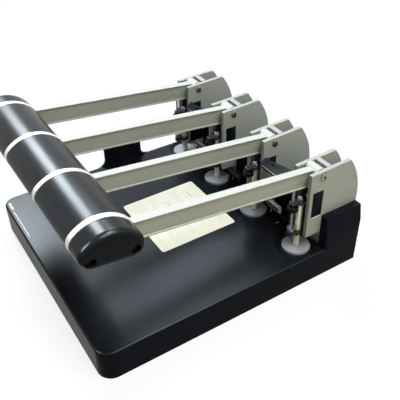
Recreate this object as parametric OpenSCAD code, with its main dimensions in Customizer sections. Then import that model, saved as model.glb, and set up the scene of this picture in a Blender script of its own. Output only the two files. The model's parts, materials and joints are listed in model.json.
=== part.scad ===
// Four-hole lever punch, millimetres.
// +X is the user's right, +Y points to the rear, +Z is up.
// The origin is on the table, under the middle of the base.

/* [Base] */
// Width of the base
base_w = 292; // [285:1:340]
// Depth of the base, front to rear
base_d = 325; // [310:1:380]
// Height of the base cover, without the feet
base_h = 36; // [30:1:48]
// Plan radius of the two front corners
front_r = 16; // [8:1:24]
// Plan radius of the two rear corners
rear_r = 3; // [3:0.5:8]
// Rounding of the top edge of the base
edge_r = 2.5; // [1:0.25:3.5]
// Wall of the moulded base cover
wall = 3.5; // [2.5:0.25:5]
// Thickness of the top of the base cover
top_wall = 4; // [3:0.25:6]
// Thickness of the steel bottom plate
bottom_t = 2; // [1.5:0.25:3]
// How far the rubber feet stand below the cover
foot_gap = 1.5; // [1:0.25:4]
// Diameter of a rubber foot
foot_d = 22; // [14:1:30]

/* [Rear housing] */
// Depth of the rear housing at the base
housing_d = 51.5; // [46:0.5:60]
// Height of the rear housing above the top of the base
housing_h = 42; // [36:0.5:52]
// How far the rear face leans in at the top
housing_rake = 2; // [0:0.5:8]
// How far each side face leans in at the top
housing_lean = 3.5; // [0:0.5:6]
// Height above the base at which these faces start to lean
housing_rake_h = 13; // [4:1:24]
// Radius of the housing's front upright corners
housing_r = 3; // [2:0.5:8]

/* [Side fence] */
// Length of the paper fence on the left edge
fence_l = 53; // [30:1:90]
// Height of the paper fence
fence_h = 28.5; // [16:0.5:36]
// Distance of the fence's middle in front of the punch line
fence_ahead = 84; // [70:1:120]
// Radius of the sweep at both ends of the fence
fence_sweep = 10; // [4:1:14]

/* [Punch units] */
// Distance between neighbouring holes
pitch = 80; // [72:1:90]
// Distance from the rear of the base to the punch line
punch_setback = 72; // [68:0.5:80]
// Free height between the base and the brackets
throat = 19; // [17:0.5:24]
// Outer width of a bracket
bracket_w = 27.5; // [26:0.5:34]
// Thickness of a bracket's side plates
side_t = 4.5; // [3:0.25:5]
// Thickness of a bracket's cross web
web_t = 6; // [3:0.25:7]
// Height of the bracket's front top corner above the base
bracket_h = 100; // [97:0.5:110]
// Slope of the bracket's top edge, in degrees
bracket_slope = 1.5; // [0:0.1:6]
// Radius of the bracket's rounded rear edge
bracket_rear_r = 84; // [80:0.5:95]
// Width of the chip window in the side plates
window_w = 14.5; // [8:0.5:16]
// Height of the chip window in the side plates
window_h = 34; // [20:0.5:36]
// Diameter of the punch shank
shank_d = 7; // [7:0.25:9]
// Diameter of the punched hole
hole_d = 6; // [5:0.1:6.5]
// Diameter of a cutting disc
disc_d = 31.6; // [24:0.2:36]
// Diameter of the black adjusting knob
knob_d = 12.4; // [11:0.2:14]
// Height of the black adjusting knob
knob_h = 6.5; // [5:0.25:9]
// Diameter of the depth stop screw
stop_screw_d = 2.5; // [2:0.25:4]

/* [Lever] */
// Distance from the punch line back to the lever's pivot
pivot_back = 16; // [14:0.5:20]
// Height of the lever's pivot above the base
pivot_h = 94; // [90:0.5:100]
// How far the cross pins lie behind the punch line
pin_back = 2.7; // [2:0.1:3.5]
// Diameter of the cross pins
pin_d = 5; // [4:0.25:5.5]
// Diameter of the pivot bolts
pivot_d = 6; // [5:0.25:8]
// Slope of the arms in the pressed position
arm_tilt = 6.5; // [3:0.5:10]
// How far the handle lifts, in degrees
lift = 45; // [30:1:50]
// Height of the arms' section
arm_h = 20; // [18:0.5:22]
// Width of the arms' flanges
arm_w = 9; // [7:0.5:11]
// Thickness of the arms' web
arm_web = 5.75; // [5.25:0.25:6.5]
// Thickness of the arms' flanges
flange_t = 1.25; // [1:0.25:3.5]
// How far the arms' top lies above the pivot
arm_top = 4.5; // [3:0.25:6]
// Outer diameter of the hub at the pivot
hub_d = 14.5; // [14:0.5:16]
// Distance from the pivot to the middle of the handle
handle_reach = 242.5; // [210:0.5:270]
// Width of the handle's section, front to rear
handle_w = 61; // [50:0.5:70]
// Height of the handle's section
handle_h = 33.4; // [30:0.2:38]
// Lower corner radius of the handle's section
handle_r = 12.5; // [8:0.25:13]
// Length of the handle
handle_l = 292; // [286:1:330]
// Thickness of the silver rings
ring_t = 6; // [5:0.25:8]
// How far the rings stand proud of the grips
ring_proud = 0.4; // [0.2:0.1:1]
// Wall of the hollow grips
grip_wall = 3.5; // [2.5:0.25:5]
// Rounding of the end caps
cap_round = 6; // [3:0.5:7]
// Diameter of the tie rods in the handle
tie_d = 6; // [4:0.25:7]

/* [Hidden] */
$fn = 64;
EPS = 0.01;
UNITS = [1, 2, 3, 4];
GAPS = [1, 2, 3];
TIES = [1, 2];

// Colours
black_abs = [0.10, 0.10, 0.11];
graphite = [0.20, 0.20, 0.23];
alloy = [0.76, 0.77, 0.74];
bright_alloy = [0.88, 0.89, 0.88];
steel = [0.62, 0.63, 0.65];
dark_steel = [0.26, 0.26, 0.28];
disc_grey = [0.70, 0.73, 0.77];
rubber_black = [0.07, 0.07, 0.07];
bronze = [0.70, 0.55, 0.32];

// Clearances
flat_clear = 0.3;
run_clear = 0.05;
slide_clear = 0.1;
press_clear = 0.02;
seat_gap = 0.3;

// Levels of the base
cover_z = foot_gap;
top_z = cover_z + base_h;
bed_z = top_z - top_wall;
plate_top_z = cover_z + bottom_t;
housing_z = top_z + housing_h;

// Front and rear limits of the base
front_y = -base_d / 2;
rear_y = base_d / 2;
housing_y = rear_y - housing_d;
housing_top_rear_y = rear_y - housing_rake;
rear_in_r = max(rear_r - wall, 1);

// Bed beam under the discs and brackets
bed_t = 6;
bed_leg_t = 5;
bed_side_gap = 4;
bed_lead = 28;
bed_tail = 10;

// Bosses and feet
boss_d = 10;
boss_hole_d = 3;
boss_hole_h = 15;
boss_inset = 15;
boss_rear_lead = 50;
foot_inset_x = 22;
foot_inset_y = 24;
foot_plug_d = 10;

// Punch line and pivot
punch_y = rear_y - punch_setback;
pivot_y = punch_y + pivot_back;
pivot_z = top_z + pivot_h;
inner_w = bracket_w - 2 * side_t;

// Bracket outline
bracket_lead = 0;
leg_lead = 1.5;
leg_tail = 12.5;
arc_drop = 50;
bracket_y = punch_y - bracket_lead;
bracket_z = top_z + throat;
bracket_top_z = top_z + bracket_h;
leg_y = housing_y + leg_lead;
leg_rear_y = rear_y - leg_tail;
arc_z = bracket_top_z - arc_drop;
arc_over = 0.4;
arc_y = housing_top_rear_y + arc_over - sqrt(pow(bracket_rear_r, 2) - pow(arc_z - housing_z, 2));
hub_gap = 0.6;
web_rise = 1;
web_y = pivot_y + hub_d / 2 + hub_gap;
foot_block_h = 10;
foot_screw_d = 6;
foot_screw_gap = 11;
window_back = 4.3;
window_lift = 23.7;
window_y = punch_y + window_back;
window_z = bracket_z + window_lift;

// Lower guide and its stop pad
guide_h = 19.5;
pad_t = 4;
pad_w = 9;
pad_wall = 2.5;
guide_lap = 2.5;
guide_back = 8;
guide_drop = 10.5;
guide_top_z = pivot_z - hub_d / 2 - guide_drop;

// Depth stop screw, in front of the punch
knob_gap = 0.4;
stop_lead = shank_d / 2 + knob_d / 2 + knob_gap;
stop_y = punch_y - stop_lead;
stop_foot_z = bracket_z + pad_t + seat_gap;
stop_toe_rim = 1.25;
stop_toe_d = stop_screw_d + 2 * stop_toe_rim;
stop_toe_h = 2.2;
stop_collar_rim = 3;
stop_collar_d = stop_screw_d + 2 * stop_collar_rim;
stop_collar_h = 4;
stop_rise = 3;
lug_t = 3;
lug_w = 8;
knob_drop = 2;
knob_ribs = 18;
knob_rib_d = 1.2;

// Punch and its holder
tip_z = top_z + seat_gap;
tip_wall = 0.4;
tip_h = 6.5;
punch_bore_d = hole_d - 0.8;
cutting_d = hole_d + 2 * tip_wall;
holder_h = 15;
holder_w = inner_w - 4;
holder_lead = 5.5;
holder_tail = 7.5;
nut_room_d = 8;
nut_room_h = 5;
nut_gap = 0.5;
tongue_wall = 2;
tongue_gap = 2.4;
tongue_over = 6.5;
half_lift = lift / 2;
pin_arm = pivot_back - pin_back;
pin_y = punch_y + pin_back;
pin_reach = pin_arm / cos(half_lift);
pin_play = pin_reach - pin_arm;
pin_drop = pin_reach * sin(half_lift);
pin_z = pivot_z - pin_drop;
arm_bot = arm_top - arm_h;
pin_over = 12.9;
holder_top_z = pin_z - pin_over;
holder_z = holder_top_z - holder_h;
holder_wall_y = punch_y + nut_room_d / 2 + nut_gap;
tongue_low_z = holder_z + lug_t + nut_room_h + nut_gap;
tongue_top_z = pin_z + tongue_over;
tongue_y = pin_y - pin_play - pin_d / 2 - tongue_wall;
tongue_rear_y = pivot_y - hub_d / 2 - tongue_gap;
shank_top_z = holder_z + lug_t;

// Clevis at the rear end of an arm, round the holder's tongue
tongue_t = 2.6;
clevis_gap = 0.25;
clevis_l = 23;
clevis_in = tongue_t / 2 + clevis_gap;

// Recesses of the cutting discs
recess_floor_rim = 3.7;
recess_rim = 8;
recess_floor_r = disc_d / 2 + recess_floor_rim;
recess_r = disc_d / 2 + recess_rim;
recess_h = 2.5;
disc_hole_d = disc_d + 2 * flat_clear;

// Paper stop and its rail
stop_back = 10.5;
stop_h = 9.5;
rail_w = 4;
rail_h = 6.3;
rail_wall = 1;
rail_l = 23;
rail_lap = 2;
rail_lift = 3.2;

// Tie plates between two brackets
tie_t = 3;
tie_h = 70;
tie_z = top_z + tie_h;
tie_ear_h = 6;
tie_ear_l = 12;
tie_ear_cut = 3;
tie_lead = 4.3;
tie_narrow = 14;
tie_wide = 29;

// Handle
hub_w = inner_w - 1;
bush_wall = 2;
beam_end = 5;
ring_tongue_t = 3;
tongue_lead = 24;
beam_lap = 8;
tie_u = 20.5;
tie_v = 9;
tie_hole_d = tie_d + 0.4;
tie_boss_d = tie_d + 4;
tie_head_d = tie_d + 3;
tie_head_h = 4;
tie_recess_d = tie_head_d + 0.8;
tie_recess_h = 10;

// Middle of punch unit k, counted from the right
function unit_x(k) = (2.5 - k) * pitch;

// Extrudes a Y-Z outline from x0 to x1
module along_x(x0, x1) {
    translate([x0, 0, 0])
        rotate([90, 0, 90])
            linear_extrude(x1 - x0)
                children();
}

// Extrudes an X-Z outline from y0 to y1
module along_y(y0, y1) {
    translate([0, y1, 0])
        rotate([90, 0, 0])
            linear_extrude(y1 - y0)
                children();
}

// Round bar along X through the point (y, z)
module bar_x(x0, x1, y, z, d) {
    translate([x0, y, z])
        rotate([0, 90, 0])
            cylinder(h = x1 - x0, d = d);
}

// The lever's own frame: its pivot is the origin, its arms lie along Y
module at_lever() {
    translate([0, pivot_y, pivot_z])
        rotate([-arm_tilt, 0, 0])
            children();
}

// Rectangle with its own front and rear corner radii
module plan(w, d, rf, rr) {
    for (side = [-1, 1]) {
        translate([side * (w / 2 - rf), -d / 2 + rf])
            circle(rf);
        translate([side * (w / 2 - rr), d / 2 - rr])
            circle(rr);
    }
    translate([-w / 2 + rf, -d / 2])
        square([w - 2 * rf, d / 2]);
    translate([-w / 2 + rr, -EPS])
        square([w - 2 * rr, d / 2 + EPS]);
    translate([-w / 2, -d / 2 + rf])
        square([w, d - rf - rr]);
}

// Half outline of a corner post whose top edge is rounded
module post_outline(r, h) {
    square([r, h - edge_r]);
    square([r - edge_r, h]);
    translate([r - edge_r, h - edge_r])
        intersection() {
            circle(edge_r);
            square(edge_r);
        }
}

// Bar outline from -half to half, both top edges rounded
module bar_outline(half, h) {
    for (side = [0, 1])
        mirror([side, 0])
            post_outline(half, h);
}

// Slab with rounded corners and a rounded top edge
module base_slab() {
    for (side = [-1, 1]) {
        translate([side * (base_w / 2 - front_r), front_y + front_r, cover_z])
            rotate_extrude()
                post_outline(front_r, base_h);
        translate([side * (base_w / 2 - rear_r), rear_y - rear_r, cover_z])
            rotate_extrude()
                post_outline(rear_r, base_h);
    }
    translate([0, 0, cover_z])
        along_x(-base_w / 2 + front_r, base_w / 2 - front_r)
            bar_outline(base_d / 2, base_h);
    translate([0, rear_y - rear_r - front_r, cover_z])
        along_x(-base_w / 2 + rear_r, base_w / 2 - rear_r)
            bar_outline(rear_r + front_r, base_h);
    translate([0, rear_y - rear_r, cover_z])
        rotate([90, 0, 0])
            linear_extrude(base_d - front_r - rear_r)
                bar_outline(base_w / 2, base_h);
}

// Side view of the rear housing, drawn in by t
module housing_outline(t) {
    polygon([
        [housing_y + t, top_z - edge_r - t],
        [housing_y + t, housing_z - t],
        [housing_top_rear_y - t, housing_z - t],
        [rear_y - t, top_z + housing_rake_h],
        [rear_y - t, top_z - edge_r - t],
    ]);
}

// Front view of the rear housing, drawn in by t at the sides
module housing_front_outline(t) {
    over = 1;
    lean = housing_lean * (1 + over / (housing_h - housing_rake_h));
    half = base_w / 2 - t;
    polygon([
        [-half, cover_z],
        [half, cover_z],
        [half, top_z + housing_rake_h],
        [half - lean, housing_z + over],
        [lean - half, housing_z + over],
        [-half, top_z + housing_rake_h],
    ]);
}

// Rear housing, with the rounded rear corners of the base
module housing_block() {
    intersection() {
        along_x(-base_w / 2 - 1, base_w / 2 + 1)
            housing_outline(0);
        along_y(housing_y - 1, rear_y + 1)
            housing_front_outline(0);
        translate([0, rear_y - housing_d / 2, cover_z])
            linear_extrude(base_h + housing_h + 1)
                plan(base_w, housing_d, housing_r, rear_r);
    }
}

// Side view of the left paper fence, swept into the base at both ends
module fence_outline() {
    low = -edge_r - EPS;
    difference() {
        translate([-fence_l / 2 - fence_sweep, low])
            square([fence_l + 2 * fence_sweep, fence_h - low]);
        for (side = [-1, 1]) {
            translate([side * (fence_l / 2 + fence_sweep), fence_sweep])
                circle(fence_sweep);
            translate([side * (fence_l / 2 + fence_sweep) - fence_sweep, fence_sweep])
                square([2 * fence_sweep, fence_h]);
        }
    }
}

module fence() {
    translate([0, punch_y - fence_ahead, top_z])
        along_x(-base_w / 2, -base_w / 2 + wall)
            fence_outline();
}

// Shallow dish round a cutting disc
module disc_recess(k) {
    slope = (recess_r - recess_floor_r) / recess_h;
    translate([unit_x(k), punch_y, top_z - recess_h])
        cylinder(h = recess_h + 1, r1 = recess_floor_r, r2 = recess_r + slope);
}

// Opening in the housing for one bracket
module bracket_slot(k) {
    w = bracket_w + 2 * flat_clear;
    translate([unit_x(k) - w / 2, housing_y - 1, top_z])
        cube([w, leg_rear_y + flat_clear - housing_y + 1, housing_h + 1]);
    translate([unit_x(k) - w / 2, leg_y - flat_clear, bed_z - 1])
        cube([w, leg_rear_y - leg_y + 2 * flat_clear, top_wall + 2]);
}

function boss_places() = [
    for (side = [-1, 1], y = [front_y + boss_inset, punch_y - boss_rear_lead])
        [side * (base_w / 2 - boss_inset), y]
];

module base_cover() {
    inner_wd = [base_w - 2 * wall, base_d - 2 * wall];
    color(black_abs)
        difference() {
            union() {
                difference() {
                    union() {
                        base_slab();
                        housing_block();
                        fence();
                    }
                    translate([0, 0, cover_z - 1])
                        linear_extrude(base_h - top_wall + 1)
                            plan(inner_wd[0], inner_wd[1], front_r - wall, rear_in_r);
                    intersection() {
                        along_x(-base_w / 2, base_w / 2)
                            housing_outline(wall);
                        along_y(housing_y, rear_y)
                            housing_front_outline(wall);
                    }
                }
                for (place = boss_places())
                    translate([place[0], place[1], plate_top_z])
                        cylinder(h = bed_z - plate_top_z + EPS, d = boss_d);
            }
            for (place = boss_places())
                translate([place[0], place[1], plate_top_z - 1])
                    cylinder(h = boss_hole_h + 1, d = boss_hole_d);
            for (k = UNITS) {
                disc_recess(k);
                bracket_slot(k);
                translate([unit_x(k), punch_y, bed_z - 1])
                    cylinder(h = top_wall + 2, d = disc_hole_d);
            }
        }
}

function foot_places() = [
    for (sx = [-1, 1], sy = [-1, 1])
        [sx * (base_w / 2 - foot_inset_x), sy * (base_d / 2 - foot_inset_y)]
];

module bottom_plate() {
    gap = wall + flat_clear;
    color(dark_steel)
        translate([0, 0, cover_z])
            linear_extrude(bottom_t)
                difference() {
                    plan(base_w - 2 * gap, base_d - 2 * gap, front_r - gap, rear_in_r);
                    for (place = foot_places())
                        translate(place)
                            circle(d = foot_plug_d);
                    for (place = boss_places())
                        translate(place)
                            circle(d = boss_hole_d + 1);
                }
}

module feet() {
    color(rubber_black)
        for (place = foot_places())
            translate([place[0], place[1], 0]) {
                cylinder(h = foot_gap, d = foot_d);
                cylinder(h = foot_gap + bottom_t, d = foot_plug_d - 2 * press_clear);
            }
}

// Steel channel that takes the punching force
module bed_beam() {
    half = base_w / 2 - wall - bed_side_gap;
    y0 = punch_y - bed_lead;
    y1 = rear_y - bed_tail;
    color(steel)
        difference() {
            translate([-half, y0, plate_top_z])
                cube([2 * half, y1 - y0, bed_z - plate_top_z]);
            translate([-half - 1, y0 + bed_leg_t, plate_top_z - 1])
                cube([2 * half + 2, y1 - y0 - 2 * bed_leg_t, bed_z - bed_t - plate_top_z + 1]);
            for (k = UNITS, y = foot_screw_ys())
                translate([unit_x(k), y, bed_z - bed_t - 1])
                    cylinder(h = bed_t + 2, d = foot_screw_d + 0.6);
        }
}

function foot_screw_ys() = let(mid = (web_y + web_t + leg_rear_y) / 2)
    [mid - foot_screw_gap / 2, mid + foot_screw_gap / 2];

// Side plate of a bracket: a C-frame over the paper slot
module side_plate_outline() {
    far_y = rear_y + bracket_w;
    top_rear_z = bracket_top_z + (far_y - bracket_y) * tan(bracket_slope);
    difference() {
        union() {
            intersection() {
                polygon([
                    [bracket_y, bracket_z],
                    [leg_rear_y, bracket_z],
                    [leg_rear_y, housing_z],
                    [far_y, housing_z],
                    [far_y, top_rear_z],
                    [bracket_y, bracket_top_z],
                ]);
                translate([arc_y, arc_z])
                    circle(bracket_rear_r, $fn = 160);
            }
            translate([leg_y, bed_z])
                square([leg_rear_y - leg_y, bracket_z - bed_z + EPS]);
        }
        translate([window_y, window_z])
            square([window_w, window_h]);
        translate([pivot_y, pivot_z])
            circle(d = pivot_d + 2 * press_clear);
    }
}

// H-section bracket, carried by its foot on the bed beam
module bracket(k) {
    half = bracket_w / 2;
    foot_y = web_y + web_t;
    color(alloy)
        translate([unit_x(k), 0, 0])
            difference() {
                union() {
                    along_x(-half, -half + side_t)
                        side_plate_outline();
                    along_x(half - side_t, half)
                        side_plate_outline();
                    translate([-half + side_t - EPS, web_y, bed_z])
                        cube([inner_w + 2 * EPS, web_t, bracket_top_z + web_rise - bed_z]);
                    translate([-half + side_t - EPS, foot_y - EPS, bed_z])
                        cube([inner_w + 2 * EPS, leg_rear_y - foot_y, foot_block_h]);
                }
                for (y = foot_screw_ys())
                    translate([0, y, bed_z - 1])
                        cylinder(h = foot_block_h + 2, d = foot_screw_d + 2 * press_clear);
            }
}

// Screws that hold the brackets from below the bed beam
module bracket_screws() {
    head_h = 4;
    color(steel)
        for (k = UNITS, y = foot_screw_ys())
            translate([unit_x(k), y, bed_z - bed_t - head_h]) {
                cylinder(h = head_h, d = 2 * foot_screw_d - 2);
                cylinder(h = head_h + bed_t + foot_block_h - 1, d = foot_screw_d);
            }
}

// Pivot bolts with a flat round head on the right
module pivot_bolts() {
    half = bracket_w / 2;
    head_h = 2;
    head_rim = 1.5;
    rim_h = 1.2;
    head_d = pivot_d + 2 * head_rim;
    socket_d = pivot_d / 2 + 0.4;
    color(steel)
        for (k = UNITS)
            translate([unit_x(k), pivot_y, pivot_z])
                difference() {
                    union() {
                        bar_x(-half - 1, half, 0, 0, pivot_d);
                        bar_x(half, half + rim_h, 0, 0, head_d);
                        translate([half + rim_h - EPS, 0, 0])
                            rotate([0, 90, 0])
                                cylinder(h = head_h - rim_h, d1 = head_d, d2 = pivot_d);
                    }
                    translate([half + head_h / 2, 0, 0])
                        rotate([0, 90, 0])
                            cylinder(h = head_h, d = socket_d, $fn = 6);
                }
}

module cutting_disc(k) {
    color(disc_grey)
        translate([unit_x(k), punch_y, bed_z])
            cylinder(h = top_wall, d = disc_d);
}

// Lower guide of a punch, with a pad for the depth stop in front
module guide(k) {
    fit_w = inner_w - 2 * slide_clear;
    neck_w = shank_d + 2 * pad_wall;
    neck_y = punch_y - neck_w / 2;
    color(dark_steel)
        translate([unit_x(k), 0, bracket_z])
            difference() {
                union() {
                    translate([-fit_w / 2, punch_y + guide_lap, 0])
                        cube([fit_w, web_y - punch_y - guide_lap, guide_h]);
                    translate([-fit_w / 2, punch_y + guide_back, 0])
                        cube([fit_w, web_y - punch_y - guide_back, guide_top_z - bracket_z]);
                    translate([-pad_w / 2, stop_y, 0])
                        cube([pad_w, neck_y - stop_y + EPS, pad_t]);
                    translate([-neck_w / 2, neck_y, 0])
                        cube([neck_w, punch_y + guide_lap - neck_y + EPS, pad_t]);
                    translate([0, stop_y, 0])
                        cylinder(h = pad_t, d = pad_w);
                }
                translate([0, punch_y, -1])
                    cylinder(h = guide_h + 2, d = shank_d + 2 * slide_clear);
            }
}

// Covers that close the chip windows, a little below the plates' outer faces
module window_covers() {
    half = bracket_w / 2;
    inset = 0.4;
    color(black_abs)
        for (k = UNITS, side = [-1, 1])
            translate([unit_x(k), window_y + press_clear, window_z + press_clear])
                mirror([side < 0 ? 1 : 0, 0, 0])
                    translate([half - side_t, 0, 0])
                        cube([side_t - inset, window_w - 2 * press_clear, window_h - 2 * press_clear]);
}

// Paper stop between brackets k and k + 1
module stop_bar(k) {
    x0 = unit_x(k + 1) + bracket_w / 2 + flat_clear;
    x1 = unit_x(k) - bracket_w / 2 - flat_clear;
    y0 = punch_y + stop_back;
    foot = 3;
    lip = 0.8;
    color(black_abs)
        translate([0, 0, top_z])
            along_x(x0, x1)
                polygon([
                    [y0, 0],
                    [y0, stop_h - lip],
                    [y0 + lip, stop_h],
                    [housing_y, stop_h],
                    [housing_y, stop_h - foot],
                    [y0 + foot, stop_h - foot],
                    [y0 + foot, 0],
                ]);
}

// Bright channel on top of a paper stop
module stop_rail(k) {
    x0 = unit_x(k + 1) + bracket_w / 2 + flat_clear;
    y0 = punch_y + stop_back - rail_lap;
    color(bright_alloy)
        translate([0, y0, top_z + stop_h])
            along_x(x0, x0 + rail_l)
                difference() {
                    union() {
                        translate([0, rail_lift])
                            square([rail_w, rail_h]);
                        translate([rail_w - rail_wall, 0])
                            square([rail_wall, rail_lift + rail_h]);
                    }
                    translate([rail_wall, rail_lift + rail_wall])
                        square([rail_w - 2 * rail_wall, rail_h]);
                }
}

// Plate that ties a pair of brackets together
module tie_plate(k) {
    right = 2 * k - 1;
    x0 = unit_x(right + 1) + bracket_w / 2;
    x1 = unit_x(right) - bracket_w / 2;
    y0 = bracket_y - tie_lead;
    color(graphite)
        translate([0, 0, tie_z]) {
            linear_extrude(tie_t)
                polygon([
                    [x0, y0],
                    [x1, y0],
                    [x1, y0 + tie_wide],
                    [x0, y0 + tie_narrow],
                ]);
            for (x = [x0, x1 - tie_t])
                along_x(x, x + tie_t)
                    polygon([
                        [y0, tie_t - EPS],
                        [y0 + tie_ear_l, tie_t - EPS],
                        [y0 + tie_ear_l, tie_t + tie_ear_h - tie_ear_cut],
                        [y0 + tie_ear_l - tie_ear_cut, tie_t + tie_ear_h],
                        [y0 + 2 * tie_ear_cut, tie_t + tie_ear_h],
                    ]);
        }
}

// D-shaped section of the handle: flat below, arched above
module d_outline(w, h, r) {
    s = w / 2 - r;
    big_r = (s * s + pow(h - r, 2) - r * r) / (2 * (h - 2 * r));
    big_v = h - big_r;
    grow = big_r / (big_r - r);
    joint_u = grow * s;
    joint_v = big_v + grow * (r - big_v);
    for (side = [-1, 1])
        translate([side * s, r])
            circle(r);
    intersection() {
        translate([0, big_v])
            circle(big_r, $fn = 128);
        translate([-w, joint_v])
            square([2 * w, h]);
    }
    polygon([[-s, 0], [s, 0], [joint_u, joint_v], [0, joint_v + 1], [-joint_u, joint_v]]);
}

// Places a Y-Z outline on the handle's flat, in the lever's frame
module at_handle() {
    translate([0, -handle_reach, arm_bot])
        children();
}

module ring_outline() {
    d_outline(handle_w + 2 * ring_proud, handle_h + ring_proud, handle_r + ring_proud);
}

// The ring's section with a hair of room, to trim an arm against it
module ring_room() {
    grow = ring_proud + press_clear;
    translate([0, -press_clear])
        d_outline(handle_w + 2 * grow, handle_h + grow + press_clear, handle_r + grow);
}

module tie_holes(d) {
    for (side = [-1, 1])
        translate([side * tie_u, tie_v])
            circle(d = d);
}

// Side view of the tongue that an arm pushes into its ring
module tongue_outline(clear) {
    translate([-tongue_lead - clear, flange_t - clear])
        square([tongue_lead + handle_w / 2 + 2, arm_h - 2 * flange_t + 2 * clear]);
}

module i_section() {
    translate([-arm_w / 2, arm_bot])
        square([arm_w, flange_t]);
    translate([-arm_w / 2, arm_top - flange_t])
        square([arm_w, flange_t]);
    translate([-arm_web / 2, arm_bot + EPS])
        square([arm_web, arm_h - 2 * EPS]);
}

// I-section arm with a hub at the pivot and a tongue in the handle
module arm(k) {
    beam_l = handle_reach - handle_w / 2 + beam_lap - beam_end;
    color(alloy)
        translate([unit_x(k), 0, 0])
            at_lever()
                difference() {
                    union() {
                        difference() {
                            along_y(-beam_end - beam_l, -beam_end)
                                i_section();
                            translate([-clevis_in, -clevis_l, arm_bot - 1])
                                cube([2 * clevis_in, clevis_l, arm_h - flange_t + 1]);
                            at_handle()
                                along_x(-arm_w, arm_w)
                                    ring_room();
                        }
                        at_handle()
                            along_x(-ring_tongue_t / 2, ring_tongue_t / 2)
                                tongue_outline(0);
                        bar_x(-hub_w / 2, hub_w / 2, 0, 0, hub_d);
                    }
                    bar_x(-hub_w, hub_w, 0, 0, pivot_d + 2 * bush_wall + 2 * press_clear);
                    at_handle()
                        along_x(-arm_w, arm_w)
                            tie_holes(tie_hole_d);
                    pin_bar(arm_w, pin_d + 2 * press_clear);
                }
}

// Round bar on the axis of the cross pin, in the lever's frame
module pin_bar(half, d) {
    rotate([arm_tilt, 0, 0])
        bar_x(-half, half, -pin_arm, -pin_drop, d);
}

// Bushes pressed into the hubs
module pivot_bushes() {
    color(bronze)
        for (k = UNITS)
            translate([unit_x(k), 0, 0])
                at_lever()
                    difference() {
                        bar_x(-hub_w / 2, hub_w / 2, 0, 0, pivot_d + 2 * bush_wall);
                        bar_x(-hub_w, hub_w, 0, 0, pivot_d + 2 * run_clear);
                    }
}

// Pins that carry the punch holders
module cross_pins() {
    color(steel)
        for (k = UNITS)
            translate([unit_x(k), 0, 0])
                at_lever()
                    pin_bar(arm_web / 2, pin_d);
}

module ring(k) {
    color(bright_alloy)
        translate([unit_x(k), 0, 0])
            at_lever()
                at_handle()
                    difference() {
                        along_x(-ring_t / 2, ring_t / 2)
                            difference() {
                                ring_outline();
                                tie_holes(tie_hole_d);
                            }
                        along_x(-ring_tongue_t / 2 - slide_clear, ring_tongue_t / 2 + slide_clear)
                            tongue_outline(slide_clear);
                    }
}

// Hollow grip between rings k and k + 1
module grip(k) {
    x0 = unit_x(k + 1) + ring_t / 2;
    x1 = unit_x(k) - ring_t / 2;
    color(black_abs)
        at_lever()
            at_handle()
                along_x(x0, x1)
                    difference() {
                        union() {
                            difference() {
                                d_outline(handle_w, handle_h, handle_r);
                                translate([0, grip_wall])
                                    d_outline(handle_w - 2 * grip_wall, handle_h - 2 * grip_wall,
                                        handle_r - grip_wall);
                            }
                            tie_holes(tie_boss_d);
                            for (side = [-1, 1])
                                translate([side * tie_u - grip_wall / 2, grip_wall / 2])
                                    square([grip_wall, tie_v - grip_wall / 2]);
                        }
                        tie_holes(tie_hole_d);
                    }
}

// End cap with a rounded outer edge and two screw recesses
module cap(side) {
    cap_l = handle_l / 2 - unit_x(1) - ring_t / 2;
    steps = 4;
    slice = 0.25;
    color(black_abs)
        at_lever()
            at_handle()
                mirror([side < 0 ? 1 : 0, 0, 0])
                    translate([unit_x(1) + ring_t / 2, 0, 0])
                        difference() {
                            hull() {
                                along_x(0, slice)
                                    d_outline(handle_w, handle_h, handle_r, $fn = 48);
                                for (i = [0:steps])
                                    let(a = 90 * i / steps, inset = cap_round * (1 - cos(a)))
                                        translate([cap_l - cap_round * (1 - sin(a)) - slice, 0, inset])
                                            along_x(0, slice)
                                                d_outline(handle_w - 2 * inset, handle_h - 2 * inset,
                                                    handle_r - inset, $fn = 48);
                            }
                            along_x(-1, cap_l + 1)
                                tie_holes(tie_hole_d);
                            along_x(cap_l - tie_recess_h, cap_l + 1)
                                tie_holes(tie_recess_d);
                        }
}

// Tie rods through the whole handle, with a screw head at each end
module tie_rods() {
    seat = handle_l / 2 - tie_recess_h;
    color(steel)
        at_lever()
            at_handle()
                for (side = [-1, 1]) {
                    bar_x(-seat, seat, side * tie_u, tie_v, tie_d);
                    for (x = [-seat - tie_head_h, seat])
                        bar_x(x, x + tie_head_h, side * tie_u, tie_v, tie_head_d);
                }
}

// Slot in which the cross pin works
module pin_slot() {
    d = pin_d + 4 * slide_clear;
    for (y = [pin_y - pin_play, pin_y])
        translate([y, pin_z])
            circle(d = d);
    translate([pin_y - pin_play, pin_z - d / 2])
        square([pin_play, d]);
}

// Angle that carries the punch on its shelf, with a tongue up into the arm's clevis
module holder(k) {
    half = holder_w / 2;
    color(dark_steel)
        translate([unit_x(k), 0, 0])
            difference() {
                union() {
                    translate([-half, punch_y - holder_lead, holder_z])
                        cube([holder_w, holder_lead + holder_tail, lug_t]);
                    translate([-half, holder_wall_y, holder_z])
                        cube([holder_w, punch_y + holder_tail - holder_wall_y, holder_h]);
                    translate([-tongue_t / 2, tongue_y, tongue_low_z])
                        cube([tongue_t, tongue_rear_y - tongue_y, tongue_top_z - tongue_low_z]);
                    translate([-lug_w / 2, stop_y, holder_z])
                        cube([lug_w, stop_lead - holder_lead + EPS, lug_t]);
                    translate([0, stop_y, holder_z])
                        cylinder(h = lug_t, d = lug_w);
                }
                along_x(-half - 1, half + 1)
                    pin_slot();
                translate([0, punch_y, holder_z - 1])
                    cylinder(h = lug_t + 2, d = shank_d + 2 * press_clear);
                translate([0, stop_y, holder_z - 1])
                    cylinder(h = lug_t + 2, d = stop_screw_d + 2 * run_clear);
            }
}

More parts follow.
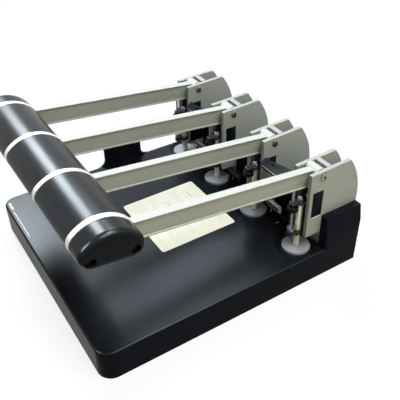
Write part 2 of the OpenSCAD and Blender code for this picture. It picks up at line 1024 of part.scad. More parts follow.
// Hollow punch with a tapered cutting end and a chip slot behind
module punch(k) {
    slot_h = 8;
    slot_w = 4;
    color(steel)
        translate([unit_x(k), punch_y, 0])
            difference() {
                rotate_extrude()
                    polygon([
                        [punch_bore_d / 2, tip_z],
                        [cutting_d / 2, tip_z],
                        [shank_d / 2, tip_z + tip_h],
                        [shank_d / 2, shank_top_z],
                        [punch_bore_d / 2, shank_top_z],
                    ]);
                translate([-slot_w / 2, 0, holder_z - slot_h - 2])
                    cube([slot_w, shank_d, slot_h]);
            }
}

// Knurled knob on the depth stop screw
module knob(k) {
    knob_z = holder_z - knob_drop - knob_h;
    color(black_abs)
        translate([unit_x(k), stop_y, knob_z])
            difference() {
                rotate_extrude()
                    polygon([
                        [stop_screw_d / 2 + press_clear, 0],
                        [knob_d / 2 - 1, 0],
                        [knob_d / 2, 1],
                        [knob_d / 2, knob_h - 1],
                        [knob_d / 2 - 1, knob_h],
                        [stop_screw_d / 2 + press_clear, knob_h],
                    ]);
                for (i = [1:knob_ribs])
                    rotate(360 * i / knob_ribs)
                        translate([knob_d / 2 + knob_rib_d / 4, 0, -1])
                            cylinder(h = knob_h + 2, d = knob_rib_d, $fn = 16);
            }
}

// Depth stop screw with a collar and a toe at its foot
module stop_screw(k) {
    color(steel)
        translate([unit_x(k), stop_y, stop_foot_z]) {
            cylinder(h = holder_top_z + stop_rise - stop_foot_z, d = stop_screw_d);
            cylinder(h = stop_toe_h + EPS, d = stop_toe_d);
            translate([0, 0, stop_toe_h])
                cylinder(h = stop_collar_h, d = stop_collar_d);
        }
}

base_cover();
bottom_plate();
feet();
bed_beam();
bracket_screws();
pivot_bolts();
pivot_bushes();
cross_pins();
cap(-1);  // cap_left
cap(1);  // cap_right
tie_rods();
window_covers();
for (k = UNITS) {
    bracket(k);
    cutting_disc(k);
    guide(k);
    arm(k);
    ring(k);
    holder(k);
    punch(k);
    knob(k);
    stop_screw(k);
}
for (k = GAPS) {
    stop_bar(k);
    stop_rail(k);
    grip(k);
}
for (k = TIES) {
    tie_plate(k);
}
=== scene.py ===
import json
import math

import bmesh
import bpy
from mathutils import Matrix, Vector


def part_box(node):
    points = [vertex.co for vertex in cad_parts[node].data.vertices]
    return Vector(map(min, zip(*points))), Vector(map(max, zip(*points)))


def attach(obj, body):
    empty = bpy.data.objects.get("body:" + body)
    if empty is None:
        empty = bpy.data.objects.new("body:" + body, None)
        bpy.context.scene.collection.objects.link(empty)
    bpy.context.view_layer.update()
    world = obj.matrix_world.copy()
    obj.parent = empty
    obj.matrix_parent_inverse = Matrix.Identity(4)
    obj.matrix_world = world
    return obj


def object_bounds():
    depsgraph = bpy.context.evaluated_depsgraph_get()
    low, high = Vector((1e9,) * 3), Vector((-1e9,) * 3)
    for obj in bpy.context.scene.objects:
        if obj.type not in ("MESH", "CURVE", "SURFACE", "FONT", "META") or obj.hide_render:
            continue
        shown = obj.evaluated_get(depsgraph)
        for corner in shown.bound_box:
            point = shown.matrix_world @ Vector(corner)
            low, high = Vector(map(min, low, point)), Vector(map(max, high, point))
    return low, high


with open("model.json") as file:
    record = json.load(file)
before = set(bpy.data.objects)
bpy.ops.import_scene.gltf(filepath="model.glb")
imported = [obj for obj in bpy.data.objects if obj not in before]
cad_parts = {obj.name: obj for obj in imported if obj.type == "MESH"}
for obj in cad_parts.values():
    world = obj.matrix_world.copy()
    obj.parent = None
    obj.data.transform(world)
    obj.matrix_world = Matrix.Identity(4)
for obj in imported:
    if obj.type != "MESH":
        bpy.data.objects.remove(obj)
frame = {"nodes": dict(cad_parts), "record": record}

MM = 0.001
CAD_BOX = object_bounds()
NODES = frame["nodes"]

# Middle of each punch unit along x, in millimetres, with unit 1 on the right
PITCH = 80.0
UNITS = {k: (2.5 - k) * PITCH for k in (1, 2, 3, 4)}


def box_mm(node):
    """Lowest and highest corner of a CAD node, in millimetres."""
    low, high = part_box(node)
    return [v / MM for v in low], [v / MM for v in high]


# Height of the base's top face, which is level with the discs
TOP_Z = box_mm("disc_1")[1][2]

# Shader helpers


def new_material(name):
    mat = bpy.data.materials.new(name)
    mat.use_nodes = True
    tree = mat.node_tree
    tree.nodes.clear()
    out = tree.nodes.new("ShaderNodeOutputMaterial")
    bsdf = tree.nodes.new("ShaderNodeBsdfPrincipled")
    tree.links.new(bsdf.outputs[0], out.inputs["Surface"])
    return mat, tree, bsdf


def coords(tree, scale=(1, 1, 1)):
    """Object coordinates, stretched by scale."""
    source = tree.nodes.new("ShaderNodeTexCoord")
    mapping = tree.nodes.new("ShaderNodeMapping")
    mapping.inputs["Scale"].default_value = scale
    tree.links.new(source.outputs["Object"], mapping.inputs["Vector"])
    return mapping.outputs["Vector"]


def noise(tree, vec, scale, detail):
    node = tree.nodes.new("ShaderNodeTexNoise")
    node.inputs["Scale"].default_value = scale
    node.inputs["Detail"].default_value = detail
    node.inputs["Roughness"].default_value = 0.55
    tree.links.new(vec, node.inputs["Vector"])
    return node.outputs["Fac"]


def ramp(tree, fac, positions, low, high):
    """Colour that goes from low to high between two positions of fac."""
    node = tree.nodes.new("ShaderNodeValToRGB")
    for stop, pos, colour in zip(node.color_ramp.elements, positions, (low, high)):
        stop.position = pos
        stop.color = (*colour, 1)
    tree.links.new(fac, node.inputs["Fac"])
    return node.outputs["Color"]


def grey(value):
    return (value, value, value)


def shade(colour, factor):
    return tuple(min(1.0, c * factor) for c in colour)


def mix_colour(tree, fac, first, second):
    """Mixes two colours, each a node's output or plain numbers, by a node's output."""
    node = tree.nodes.new("ShaderNodeMix")
    node.data_type = "RGBA"
    tree.links.new(fac, node.inputs[0])
    for socket, colour in ((node.inputs[6], first), (node.inputs[7], second)):
        if hasattr(colour, "is_output"):
            tree.links.new(colour, socket)
        else:
            socket.default_value = (*colour, 1)
    return node.outputs[2]


def bump(tree, height, strength, distance):
    node = tree.nodes.new("ShaderNodeBump")
    node.inputs["Strength"].default_value = strength
    node.inputs["Distance"].default_value = distance
    tree.links.new(height, node.inputs["Height"])
    return node.outputs["Normal"]


def sharp_edge_mask(tree):
    """White on sharp outer edges, from the mesh's own curvature."""
    geometry = tree.nodes.new("ShaderNodeNewGeometry")
    return ramp(tree, geometry.outputs["Pointiness"], SHARP_EDGE_SPAN, grey(0.0), grey(1.0))


def facing_up(tree):
    """0 on upright faces, 1 on level ones, in the piece's own frame, so that it moves with the piece."""
    source = tree.nodes.new("ShaderNodeTexCoord")
    parts = tree.nodes.new("ShaderNodeSeparateXYZ")
    tree.links.new(source.outputs["Normal"], parts.inputs[0])
    return parts.outputs["Z"]


# Where the ramps of a finish begin and end
CLOUD_SPAN = (0.3, 0.7)
SHARP_EDGE_SPAN = (0.53, 0.60)
LEVEL_LIGHT_SPAN = (0.35, 0.85)
LEVEL_GLOSS = (0.25, 0.75)
# Roughness varies in smaller patches than the colour
ROUGH_PATCHES = 3.1
GRAIN_DEPTH = 0.00005


def finish_material(name, base, rough, metallic=0.0, var=0.12, var_scale=40.0, rough_var=0.08,
                    grain=0.0, grain_scale=1800.0, stretch=(1, 1, 1), specular=0.5,
                    side_specular=None, gloss_tint=None, edge_tone=None, top=None):
    """Painted, moulded or metal finish with clouded colour and roughness, and a fine grain.

    The edge colour is that of sharp outer edges, and top that of level faces, lighter as a painted
    highlight of the light from above.
    side_specular is the gloss of upright faces, where it differs from specular.
    """
    mat, tree, bsdf = new_material(name)
    vec = coords(tree, stretch)
    cloud = noise(tree, vec, var_scale, 4.0)
    colour = ramp(tree, cloud, CLOUD_SPAN, shade(base, 1 - var), shade(base, 1 + var))
    if edge_tone is not None:
        colour = mix_colour(tree, sharp_edge_mask(tree), colour, edge_tone)
    # Level faces lighter than the rest: a painted highlight of the light from above
    if top is not None:
        level = ramp(tree, facing_up(tree), LEVEL_LIGHT_SPAN, grey(0.0), grey(1.0))
        colour = mix_colour(tree, level, colour, top)
    tree.links.new(colour, bsdf.inputs["Base Color"])
    patches = noise(tree, vec, var_scale * ROUGH_PATCHES, 3.0)
    smoothest = grey(max(0.02, rough - rough_var))
    roughest = grey(min(1, rough + rough_var))
    tree.links.new(ramp(tree, patches, CLOUD_SPAN, smoothest, roughest), bsdf.inputs["Roughness"])
    bsdf.inputs["Metallic"].default_value = metallic
    bsdf.inputs["Specular IOR Level"].default_value = specular
    if gloss_tint is not None:
        bsdf.inputs["Specular Tint"].default_value = (*gloss_tint, 1)
    if side_specular is not None:
        level = ramp(tree, facing_up(tree), LEVEL_GLOSS, grey(side_specular), grey(specular))
        tree.links.new(level, bsdf.inputs["Specular IOR Level"])
    if grain > 0:
        height = noise(tree, vec, grain_scale, 2.0)
        tree.links.new(bump(tree, height, grain, GRAIN_DEPTH), bsdf.inputs["Normal"])
    return mat


# Black plastics
COOL_GLOSS = (0.84, 0.94, 1.0)
BODY = finish_material(
    "body_black_satin", (0.0050, 0.0061, 0.0090), 0.26, var=0.14, var_scale=26, rough_var=0.010,
    grain=0.22, grain_scale=900, specular=0.122, side_specular=0.014, gloss_tint=COOL_GLOSS)
HANDLE = finish_material(
    "handle_black_satin", (0.0050, 0.0056, 0.0066), 0.29, var=0.10, var_scale=22, rough_var=0.010,
    grain=0.24, grain_scale=900, specular=0.225, side_specular=0.045, gloss_tint=COOL_GLOSS)
CAP = finish_material(
    "cap_black_smooth", (0.0046, 0.0052, 0.0062), 0.245, var=0.10, var_scale=22, rough_var=0.015,
    grain=0.05, grain_scale=2400, specular=0.22, side_specular=0.065, gloss_tint=COOL_GLOSS)
KNOB = finish_material(
    "knob_black", (0.0045, 0.0045, 0.005), 0.40, var=0.2, var_scale=90, grain=0.2, specular=0.06)
RUBBER = finish_material(
    "rubber_black", (0.018, 0.018, 0.018), 0.8, var=0.2, var_scale=120, grain=0.5, grain_scale=900)

# Silver paint and bright alloy
# Both silver paints are lighter on their level faces, a painted highlight of the light from above
ALLOY = finish_material(
    "silver_paint", (0.262, 0.280, 0.254), 0.46, var=0.05, var_scale=18, rough_var=0.05,
    grain=0.16, grain_scale=3200, specular=0.25, top=(0.36, 0.37, 0.36))
ARM_PAINT = finish_material(
    "silver_paint_lit_tops", (0.266, 0.280, 0.248), 0.46, var=0.05, var_scale=18, rough_var=0.05,
    grain=0.16, grain_scale=3200, specular=0.25, top=(0.47, 0.48, 0.47))
# Rails nearly white: partly their bright zinc, partly painted light where the arms shade them
RAIL = finish_material(
    "rail_zinc_lightened", (0.93, 0.94, 0.92), 0.4, var=0.03, var_scale=60, rough_var=0.06)
BRIGHT = finish_material(
    "bright_alloy", (0.80, 0.80, 0.79), 0.32, metallic=0.3, var=0.03, var_scale=60, rough_var=0.06,
    grain=0.1, grain_scale=1500, stretch=(6, 1, 1))

# Steel, bronze and dark metal
ALONG_Z = (1, 1, 0.1)
STEEL = finish_material(
    "ground_steel", (0.62, 0.62, 0.63), 0.24, metallic=1.0, var=0.10, var_scale=220, rough_var=0.08,
    grain=0.12, grain_scale=900, stretch=ALONG_Z)
SHANK = finish_material(
    "hardened_steel", (0.72, 0.70, 0.60), 0.30, metallic=0.35, var=0.15, var_scale=220, rough_var=0.06,
    grain=0.10, grain_scale=900, stretch=ALONG_Z)
BOLT = finish_material(
    "yellow_zinc", (0.27, 0.248, 0.195), 0.24, metallic=1.0, var=0.2, var_scale=260, rough_var=0.08,
    grain=0.12, grain_scale=900)
ROD = finish_material(
    "drawn_steel", (0.24, 0.24, 0.235), 0.34, metallic=1.0, var=0.2, var_scale=240, rough_var=0.08,
    grain=0.12, grain_scale=900, stretch=ALONG_Z)
# Black oxide, with its sharp outer edges a little lighter
DARK = finish_material(
    "black_oxide", (0.020, 0.020, 0.022), 0.42, metallic=0.4, var=0.25, var_scale=160, rough_var=0.10,
    grain=0.12, specular=0.2, edge_tone=(0.045, 0.045, 0.045))
BRONZE = finish_material(
    "sintered_bronze", (0.42, 0.27, 0.11), 0.42, metallic=1.0, var=0.2, var_scale=200, grain=0.3)

# Other paints, paper and print
GRAPHITE = finish_material(
    "graphite_paint", (0.038, 0.046, 0.051), 0.36, var=0.25, var_scale=160, rough_var=0.06,
    grain=0.3, specular=0.07)
DISC = finish_material(
    "disc_grey", (0.27, 0.29, 0.322), 0.52, var=0.08, var_scale=120, rough_var=0.06,
    grain=0.2, grain_scale=1600, specular=0.35)
PAPER = finish_material(
    "label_paper", (0.70, 0.69, 0.58), 0.62, var=0.02, var_scale=60, rough_var=0.03,
    grain=0.15, grain_scale=1400)
PRINT = finish_material("label_rule", (0.52, 0.51, 0.42), 0.62, var=0.08, var_scale=200, rough_var=0.03)
MARK = finish_material("scale_yellow", (0.60, 0.56, 0.22), 0.5, var=0.12, var_scale=300)
WHITE = finish_material("print_white", (0.86, 0.88, 0.90), 0.5, var=0.04, var_scale=300)

SLOT_MATERIAL = {
    "body_black": BODY, "handle_black": HANDLE, "knob_black": KNOB, "rubber": RUBBER,
    "cast_alloy": ALLOY, "bright_alloy": BRIGHT, "steel": STEEL, "dark_steel": DARK,
    "graphite": GRAPHITE, "disc_grey": DISC, "bronze": BRONZE,
}

# Nodes whose finish differs from the rest of their slot
NODE_MATERIAL = {
    "tie_rods": DARK, "cross_pins": ALLOY, "pivot_bolts": BOLT, "window_covers": BODY,
    "stop_rail_1": RAIL, "stop_rail_2": DARK, "stop_rail_3": RAIL,
    "cap_left": CAP, "cap_right": CAP,
}
for k in UNITS:
    NODE_MATERIAL.update({f"punch_{k}": SHANK, f"stop_screw_{k}": ROD, f"arm_{k}": ARM_PAINT})

# Width in millimetres of the rounding on hard edges, by slot
BEVEL = {
    "body_black": 0.7, "handle_black": 0.35, "cast_alloy": 0.5, "bright_alloy": 0.3, "steel": 0.25,
    "dark_steel": 0.4, "graphite": 0.4, "disc_grey": 0.5, "rubber": 0.6,
}
BEVEL_ANGLE = math.radians(35.0)
BEVEL_STEPS = 2

# Nodes with double curves, and how their mesh is evened, in millimetres
MOULDED = {"cap_left", "cap_right"}
VOXEL = 0.5
SMOOTH_ROUNDS = 8
# Keeps the smoothed mesh inside the CAD box
INSET = 0.005


def set_material(obj, mat):
    slots = obj.data.materials
    if not slots:
        slots.append(mat)
    for i in range(len(slots)):
        slots[i] = mat


def weld(obj):
    """Joins the imported mesh's split points."""
    obj.modifiers.new("weld", "WELD").merge_threshold = 0.01 * MM


def soften(obj, width):
    """Rounds hard edges by a width in millimetres and evens the shading of flat faces."""
    weld(obj)
    if width > 0:
        bevel = obj.modifiers.new("bevel", "BEVEL")
        bevel.width = width * MM
        bevel.segments = BEVEL_STEPS
        bevel.limit_method = "ANGLE"
        bevel.angle_limit = BEVEL_ANGLE
        bevel.harden_normals = False
        bevel.use_clamp_overlap = True
    normals = obj.modifiers.new("normals", "WEIGHTED_NORMAL")
    normals.keep_sharp = False
    normals.weight = 100


def even_out(obj):
    """Gives a moulded form an even, smooth mesh, so that its curves shade without streaks."""
    weld(obj)
    remesh = obj.modifiers.new("remesh", "REMESH")
    remesh.mode = "VOXEL"
    remesh.voxel_size = VOXEL * MM
    remesh.use_smooth_shade = True
    smooth = obj.modifiers.new("smooth", "SMOOTH")
    smooth.factor = 0.5
    smooth.iterations = SMOOTH_ROUNDS
    inset = obj.modifiers.new("inset", "DISPLACE")
    inset.mid_level = 0.0
    inset.strength = -INSET * MM


for sub in frame["record"]["subparts"]:
    node, slot = sub["node"], sub["material_slot"]
    obj = NODES[node]
    set_material(obj, NODE_MATERIAL.get(node, SLOT_MATERIAL[slot]))
    if node in MOULDED:
        even_out(obj)
    else:
        soften(obj, BEVEL.get(slot, 0.0))

# Mesh helpers for the added pieces


def mesh_object(name, bm, mat, body):
    mesh = bpy.data.meshes.new(name)
    bmesh.ops.recalc_face_normals(bm, faces=bm.faces)
    bm.to_mesh(mesh)
    bm.free()
    obj = bpy.data.objects.new(name, mesh)
    bpy.context.scene.collection.objects.link(obj)
    mesh.materials.append(mat)
    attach(obj, body)


def lathe(bm, outline, place, steps):
    """Turns (radius, height) points in millimetres round the z axis of the matrix."""
    rings = []
    for r, h in outline:
        if r == 0:
            rings.append([bm.verts.new(place @ Vector((0, 0, h * MM)))])
            continue
        ring = []
        for i in range(steps):
            a = 2 * math.pi * i / steps
            ring.append(bm.verts.new(place @ Vector((r * MM * math.cos(a), r * MM * math.sin(a), h * MM))))
        rings.append(ring)
    for low, high in zip(rings, rings[1:]):
        for i in range(steps):
            j = (i + 1) % steps
            corners = [low[i % len(low)], low[j % len(low)], high[j % len(high)], high[i % len(high)]]
            corners = [v for n, v in enumerate(corners) if v not in corners[:n]]
            if len(corners) > 2:
                bm.faces.new(corners)


def facing(pos_mm, axis):
    """Matrix at a place in millimetres whose z axis points along axis."""
    rot = Vector(axis).normalized().to_track_quat("Z", "Y").to_matrix().to_4x4()
    return Matrix.Translation(Vector(pos_mm) * MM) @ rot


def add_box(bm, low, high):
    """Box between two corners in millimetres."""
    size = [h - l for l, h in zip(low, high)]
    mid = [(h + l) / 2 for l, h in zip(low, high)]
    for v in bmesh.ops.create_cube(bm, size=1.0)["verts"]:
        v.co = Vector([(c * s + m) * MM for c, s, m in zip(v.co, size, mid)])


def thin_plates(name, corners, mat):
    """One piece on the base, of a box for each pair of corners."""
    bm = bmesh.new()
    for low, high in corners:
        add_box(bm, low, high)
    mesh_object(name, bm, mat, "base")


def pan_head(bm, pos, axis, d, height):
    """Domed screw head with a small cup as its recess."""
    r = d / 2
    outline = [(0, 0), (r, 0), (r, height * 0.35), (r * 0.86, height * 0.75), (r * 0.55, height),
               (r * 0.34, height), (r * 0.22, height * 0.45), (0, height * 0.4)]
    lathe(bm, outline, facing(pos, axis), 24)


def cap_nut(bm, pos, d, height):
    """Domed nut that stands on a flat, with a hexagon round its foot."""
    place = facing(pos, (0, 0, 1))
    r = d / 2
    foot = [(0, 0), (r, 0), (r, height * 0.34), (r * 0.93, height * 0.4), (0, height * 0.4)]
    lathe(bm, foot, place, 6)
    dome = []
    for i in range(6):
        a = math.pi / 2 * i / 6
        dome.append((r * 0.86 * math.cos(a), height * (0.4 + 0.6 * math.sin(a))))
    lathe(bm, dome + [(0, height)], place, 28)


# Nut that holds each punch on its shelf, and two small screws on the holder, in millimetres
SHELF_T = 3.0
SHELF_FRONT = 5.5
WALL_BACK = 4.5
NUT_D, NUT_H = 7.8, 5.0
SCREW_H = 1.6
SHELF_SCREW_X, SHELF_SCREW_Z, SHELF_SCREW_D = -2.4, 1.5, 2.6
WALL_SCREW_X, WALL_SCREW_Z, WALL_SCREW_D = 4.6, 9.0, 3.6
FORWARD = (0, -1, 0)
for k, x in UNITS.items():
    z = box_mm(f"holder_{k}")[0][2]
    punch_low, punch_high = box_mm(f"punch_{k}")
    y = (punch_low[1] + punch_high[1]) / 2
    shelf_screw = (x + SHELF_SCREW_X, y - SHELF_FRONT, z + SHELF_SCREW_Z)
    wall_screw = (x + WALL_SCREW_X, y + WALL_BACK, z + WALL_SCREW_Z)
    bm = bmesh.new()
    cap_nut(bm, (x, y, z + SHELF_T), NUT_D, NUT_H)
    pan_head(bm, shelf_screw, FORWARD, SHELF_SCREW_D, SCREW_H)
    pan_head(bm, wall_screw, FORWARD, WALL_SCREW_D, SCREW_H)
    mesh_object(f"holder_bolts_{k}", bm, ROD, f"punch_unit_{k}")

# Dark bottom and dark rim of each pivot bolt's socket, painted shade in the recess, as (radius, height) in
# millimetres
SOCKET_SHADE_BOTTOM = [(0, 0.3), (0.6, 0.25), (1.5, 0.0), (1.5, -0.1), (0, -0.1)]
SOCKET_SHADE_RIM = [(1.4, -0.3), (2.0, 0.0), (2.0, 0.04), (1.4, 0.02)]
SOCKET_OUT = 1.05
low, high = box_mm("pivot_bolts")
pivot_y, pivot_z = (low[1] + high[1]) / 2, (low[2] + high[2]) / 2
for k, x in UNITS.items():
    bottom_x = box_mm(f"bracket_{k}")[1][0] + SOCKET_OUT
    head_x = high[0] + x - UNITS[1]
    bm = bmesh.new()
    lathe(bm, SOCKET_SHADE_BOTTOM, facing((bottom_x, pivot_y, pivot_z), (1, 0, 0)), 6)
    lathe(bm, SOCKET_SHADE_RIM, facing((head_x, pivot_y, pivot_z), (1, 0, 0)), 6)
    mesh_object(f"pivot_socket_shade_{k}", bm, DARK, "base")

# Screws on the tie plates
TIE_T = 3.0
TIE_SCREW_X = (10.35, 41.25)
TIE_SCREW_Y = 10.6
TIE_SCREW_D, TIE_SCREW_H = 4.2, 1.4
for k in (1, 2):
    low, high = box_mm(f"tie_plate_{k}")
    bm = bmesh.new()
    for dx in TIE_SCREW_X:
        place = (low[0] + dx, low[1] + TIE_SCREW_Y, low[2] + TIE_T)
        pan_head(bm, place, (0, 0, 1), TIE_SCREW_D, TIE_SCREW_H)
    mesh_object(f"tie_screws_{k}", bm, KNOB, "base")

# Screws under the bottom plate, in from its front, sides and rear
BOTTOM_SCREW_IN, BOTTOM_SCREW_REAR = 11.2, 46.2
BOTTOM_SCREW_D, BOTTOM_SCREW_H = 5.6, 1.2
low, high = box_mm("bottom_plate")
bm = bmesh.new()
for side in (-1, 1):
    for y in (low[1] + BOTTOM_SCREW_IN, high[1] - BOTTOM_SCREW_REAR):
        place = (side * (high[0] - BOTTOM_SCREW_IN), y, low[2])
        pan_head(bm, place, (0, 0, -1), BOTTOM_SCREW_D, BOTTOM_SCREW_H)
mesh_object("bottom_screws", bm, STEEL, "base")

# Painted position marks, one upright on each stop bar and one flat in front of it
MARK_W = 1.2
UPRIGHT_MARK_X, FLAT_MARK_X = 6.4, 23.7
marks = []
for k in (1, 2, 3):
    x, y, z = box_mm(f"stop_bar_{k}")[0]
    left = x + UPRIGHT_MARK_X
    marks.append(((left, y - 0.06, z + 3.6), (left + MARK_W, y + 0.02, z + 7.4)))
    left = x + FLAT_MARK_X
    marks.append(((left, y - 6.0, z - 0.02), (left + MARK_W, y - 1.5, z + 0.06)))
thin_plates("stop_marks", marks, MARK)

# Dark strip on the front of the bright rails, below their top
DARK_STRIP_END = 0.8
dark_strips = []
for k in (1, 3):
    low, high = box_mm(f"stop_rail_{k}")
    dark_strips.append(((low[0] + DARK_STRIP_END, low[1] - 0.05, low[2] + 3.8),
                   (high[0] - DARK_STRIP_END, low[1] + 0.3, high[2] - 1.2)))
thin_plates("rail_dark_strips", dark_strips, DARK)

# Bright strips on the front edges of the tie plates, between their upturned ears, a painted highlight
TIE_EAR = 3.2
edge_highlights = []
for k in (1, 2):
    low, high = box_mm(f"tie_plate_{k}")
    edge_highlights.append(((low[0] + TIE_EAR, low[1] + 0.05, low[2] + TIE_T - 0.02),
                  (high[0] - TIE_EAR, low[1] + 0.45, low[2] + TIE_T + 0.06)))
thin_plates("tie_edge_highlights", edge_highlights, BRIGHT)

# Cover plates in the lower half of the windows that face a tie plate
WINDOW_GAP = 0.1
WINDOW_PLATE_H = 17.0
WINDOW_FRONT = 0.05
low, high = box_mm("window_covers")
window_y = (low[1] + WINDOW_GAP, high[1] - WINDOW_GAP)
window_z = low[2]
covers = []
for k in (2, 4):
    x = box_mm(f"bracket_{k}")[1][0]
    covers.append(((x - 0.45, window_y[0], window_z + WINDOW_GAP),
                   (x - WINDOW_FRONT, window_y[1], window_z + WINDOW_PLATE_H)))
thin_plates("window_plates", covers, ALLOY)

# Black sheets on the right faces of brackets 2 and 4 below those windows, a painted shadow where the tie
# plates and arms shade them, by their height and rear edge
SHADOW_SHEET_Z = (57.2, 78.6)
SHADOW_SHEET_Y = 110.4
shadow_sheets = []
for k in (2, 4):
    low, high = box_mm(f"bracket_{k}")
    shadow_sheets.append(((high[0] - 0.02, low[1] + 0.8, SHADOW_SHEET_Z[0]), (high[0] + 0.25, SHADOW_SHEET_Y, SHADOW_SHEET_Z[1])))
thin_plates("painted_shadow_sheets", shadow_sheets, BODY)

# Bright strips on the sills of the two open windows, a painted highlight where light falls on them
SILL_H = 0.9
sill_highlights = []
for k in (1, 3):
    x = box_mm(f"bracket_{k}")[1][0]
    sill_highlights.append(((x - 0.38, window_y[0], window_z + WINDOW_GAP),
                  (x - WINDOW_FRONT, window_y[1], window_z + SILL_H)))
thin_plates("window_sill_highlights", sill_highlights, BRIGHT)

# Plain white stripes on the front left edge: left end, right end and width
STRIPES = ((-135.0, -119.5, 2.2), (-115.0, -58.0, 0.9))
STRIPE_Y = -157.6
stripes = []
for x0, x1, width in STRIPES:
    stripes.append(((x0, STRIPE_Y, TOP_Z - 0.02), (x1, STRIPE_Y + width, TOP_Z + 0.05)))
thin_plates("front_stripes", stripes, WHITE)

# Label on the base, with plain ruled lines and framed blanks, and no words
LABEL_X, LABEL_Y = (-50.0, 50.0), (-41.7, 56.8)
LABEL_T, LABEL_R = 0.12, 3.0
RULE_T, RULE_W, RULE_STEP = 0.03, 0.6, 2.6
FRAME_W = 0.7
BAR_END, BAR_W = 2.5, 2.4
# Each block of rules: left end, right end, first line and number of lines
RULES = (
    (-44, -8, -31.0, 5), (-44, -12, -10.0, 3), (-44, -8, 18.0, 4), (-44, -14, 50.0, 1),
    (8, 42, -36.0, 2), (8, 36, -20.0, 4), (8, 42, 4.0, 2), (8, 34, 24.0, 4), (8, 40, 46.0, 1),
)
# Each framed blank: left, right, front and rear edge
FRAMES = ((-30, -14, 3.0, 13.0), (-36, -18, 33.0, 46.0))


def rounded_plate(bm, x, y, z, thick, r, steps=6):
    """Flat plate in millimetres with rounded corners."""
    corners = ((x[1] - r, y[1] - r, 0), (x[0] + r, y[1] - r, 90),
               (x[0] + r, y[0] + r, 180), (x[1] - r, y[0] + r, 270))
    outline = []
    for cx, cy, start in corners:
        for i in range(steps + 1):
            a = math.radians(start + 90 * i / steps)
            outline.append((cx + r * math.cos(a), cy + r * math.sin(a)))
    low = [bm.verts.new((px * MM, py * MM, z * MM)) for px, py in outline]
    high = [bm.verts.new((px * MM, py * MM, (z + thick) * MM)) for px, py in outline]
    bm.faces.new(low[::-1])
    bm.faces.new(high)
    for i in range(len(low)):
        j = (i + 1) % len(low)
        bm.faces.new((low[i], low[j], high[j], high[i]))


def rule(x0, x1, y0, y1):
    """Corners of a thin printed strip on the label."""
    z = TOP_Z + LABEL_T
    return (x0, y0, z), (x1, y1, z + RULE_T)


def framed_blank(x0, x1, y0, y1):
    """Strips of a printed frame with a bar across it."""
    w = FRAME_W
    mid = (y0 + y1) / 2
    return [
        rule(x0, x1, y0, y0 + w),
        rule(x0, x1, y1 - w, y1),
        rule(x0, x0 + w, y0 + w, y1 - w),
        rule(x1 - w, x1, y0 + w, y1 - w),
        rule(x0 + BAR_END, x1 - BAR_END, mid - BAR_W / 2, mid + BAR_W / 2),
    ]


bm = bmesh.new()
rounded_plate(bm, LABEL_X, LABEL_Y, TOP_Z, LABEL_T, LABEL_R)
mesh_object("label", bm, PAPER, "base")
strips = []
for x0, x1, first, count in RULES:
    for i in range(count):
        y = first + i * RULE_STEP
        strips.append(rule(x0, x1 - (i % 3) * 5, y, y + RULE_W))
for blank in FRAMES:
    strips.extend(framed_blank(*blank))
thin_plates("label_rules", strips, PRINT)

# Camera at the photograph's angle
CAM_AZ, CAM_EL, CAM_ROLL = math.radians(58.28), math.radians(37.13), math.radians(-1.16)
CAM_DIST, CAM_LENS = 0.70016, 53.557
CAM_TARGET = Vector((0.0174, 0.02827, 0.0612))
back = Vector((math.sin(CAM_AZ) * math.cos(CAM_EL), -math.cos(CAM_AZ) * math.cos(CAM_EL), math.sin(CAM_EL)))
side = Vector((0, 0, 1)).cross(back).normalized()
up = back.cross(side)
cam_x = math.cos(CAM_ROLL) * side + math.sin(CAM_ROLL) * up
cam_y = -math.sin(CAM_ROLL) * side + math.cos(CAM_ROLL) * up
cam_data = bpy.data.cameras.new("camera")
cam_data.sensor_width = 36
cam_data.lens = CAM_LENS
cam_data.clip_start = 0.01
cam = bpy.data.objects.new("camera", cam_data)
bpy.context.scene.collection.objects.link(cam)
eye = CAM_TARGET + CAM_DIST * back
cam.matrix_world = Matrix((
    (cam_x.x, cam_y.x, back.x, eye.x),
    (cam_x.y, cam_y.y, back.y, eye.y),
    (cam_x.z, cam_y.z, back.z, eye.z),
    (0, 0, 0, 1),
))
bpy.context.scene.camera = cam

# World: white where it is seen or mirrored, faint soft light elsewhere
WORLD_LIGHT = 0.08


def math_node(tree, operation, first, second):
    node = tree.nodes.new("ShaderNodeMath")
    node.operation = operation
    tree.links.new(first, node.inputs[0])
    tree.links.new(second, node.inputs[1])
    return node.outputs[0]


def seen_directly(tree):
    """1 for camera, glossy and transmission rays, 0 for the rest."""
    path = tree.nodes.new("ShaderNodeLightPath").outputs
    seen = math_node(tree, "MAXIMUM", path["Is Camera Ray"], path["Is Glossy Ray"])
    return math_node(tree, "MAXIMUM", seen, path["Is Transmission Ray"])


def mix_shaders(tree, fac, first, second):
    node = tree.nodes.new("ShaderNodeMixShader")
    tree.links.new(fac, node.inputs["Fac"])
    tree.links.new(first, node.inputs[1])
    tree.links.new(second, node.inputs[2])
    return node.outputs[0]


def glow(tree, kind, colour, strength):
    """Background or Emission shader of one colour."""
    node = tree.nodes.new(kind)
    node.inputs["Color"].default_value = (*colour, 1)
    node.inputs["Strength"].default_value = strength
    return node.outputs[0]


world = bpy.data.worlds.new("studio")
bpy.context.scene.world = world
world.use_nodes = True
tree = world.node_tree
tree.nodes.clear()
out = tree.nodes.new("ShaderNodeOutputWorld")
soft = glow(tree, "ShaderNodeBackground", (0.95, 0.97, 1.0), WORLD_LIGHT)
white = glow(tree, "ShaderNodeBackground", grey(1.0), 1.0)
tree.links.new(mix_shaders(tree, seen_directly(tree), soft, white), out.inputs["Surface"])

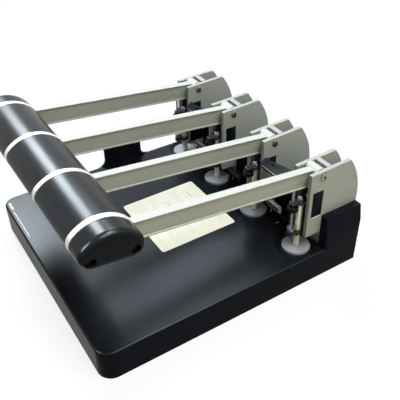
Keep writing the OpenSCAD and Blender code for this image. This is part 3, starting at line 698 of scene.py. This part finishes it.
# Floor: pale and shaded near the object, plain white further off, in metres
FLOOR_HALF = 6.0
FLOOR_DROP = 0.0002
FLOOR_FADE = (0.50, 1.0)
FLOOR_GLOW = 0.85
bm = bmesh.new()
bmesh.ops.create_grid(bm, x_segments=1, y_segments=1, size=FLOOR_HALF)
floor_mesh = bpy.data.meshes.new("floor")
bm.to_mesh(floor_mesh)
bm.free()
floor = bpy.data.objects.new("floor", floor_mesh)
floor.location.z = CAD_BOX[0][2] - FLOOR_DROP
bpy.context.scene.collection.objects.link(floor)
mat, tree, bsdf = new_material("floor_white")
colour = mix_colour(tree, seen_directly(tree), grey(0.45), grey(0.9))
tree.links.new(colour, bsdf.inputs["Base Color"])
bsdf.inputs["Roughness"].default_value = 0.9
bsdf.inputs["Specular IOR Level"].default_value = 0.1
away = tree.nodes.new("ShaderNodeVectorMath")
away.operation = "LENGTH"
tree.links.new(coords(tree), away.inputs[0])
share = ramp(tree, away.outputs["Value"], FLOOR_FADE, grey(FLOOR_GLOW), grey(1.0))
share = math_node(tree, "MULTIPLY", seen_directly(tree), share)
white = glow(tree, "ShaderNodeEmission", grey(1.0), 1.0)
out = [n for n in tree.nodes if n.type == "OUTPUT_MATERIAL"][0]
tree.links.new(mix_shaders(tree, share, bsdf.outputs[0], white), out.inputs["Surface"])
floor_mesh.materials.append(mat)

# Lamps, in metres and watts
COOL = (0.92, 0.97, 1.0)
HANDLE_END = (0.13, -0.12, 0.1)


def area_light(name, pos, aim, size, power, colour, diffuse=True, mirrored=True):
    """Rectangular lamp of a width and height, which may leave out either kind of light."""
    data = bpy.data.lights.new(name, "AREA")
    data.energy = power
    data.color = colour
    data.shape = "RECTANGLE"
    data.size, data.size_y = size
    lamp = bpy.data.objects.new(name, data)
    bpy.context.scene.collection.objects.link(lamp)
    lamp.location = pos
    lamp.visible_diffuse = diffuse
    lamp.visible_glossy = mirrored
    lamp.rotation_euler = (Vector(aim) - Vector(pos)).to_track_quat("-Z", "Y").to_euler()


area_light("left_key", (-1.30, 0.02, 1.33), (-0.02, -0.05, 0.08), (0.44, 0.8), 37, (0.88, 0.95, 1.0))
area_light("ceiling", (-0.92, 0.56, 1.34), (0.05, 0.0, 0.05), (0.45, 0.6), 8, (0.86, 0.94, 1.0))
area_light("top_soft", (0.75, 0.20, 1.45), (0, 0, 0.05), (0.8, 0.8), 20, (1.0, 1.0, 0.98))
area_light("cap_glint", (0.25, 0.42, 1.60), HANDLE_END, (0.3, 0.4), 22, COOL, diffuse=False)
area_light("front_glint", (-0.22, -1.17, 1.16), HANDLE_END, (0.4, 0.5), 30, COOL, diffuse=False)
area_light("rear_rim", (0.95, 0.75, 1.1), (0.05, 0.05, 0.05), (0.25, 0.25), 2.0, (0.97, 0.99, 1.0))
area_light("right_fill", (0.60, -0.03, 0.34), (0.1, 0.1, 0.1), (0.3, 0.3), 0.90, (1.0, 0.84, 0.38),
           mirrored=False)

bpy.context.scene.view_settings.view_transform = "Standard"
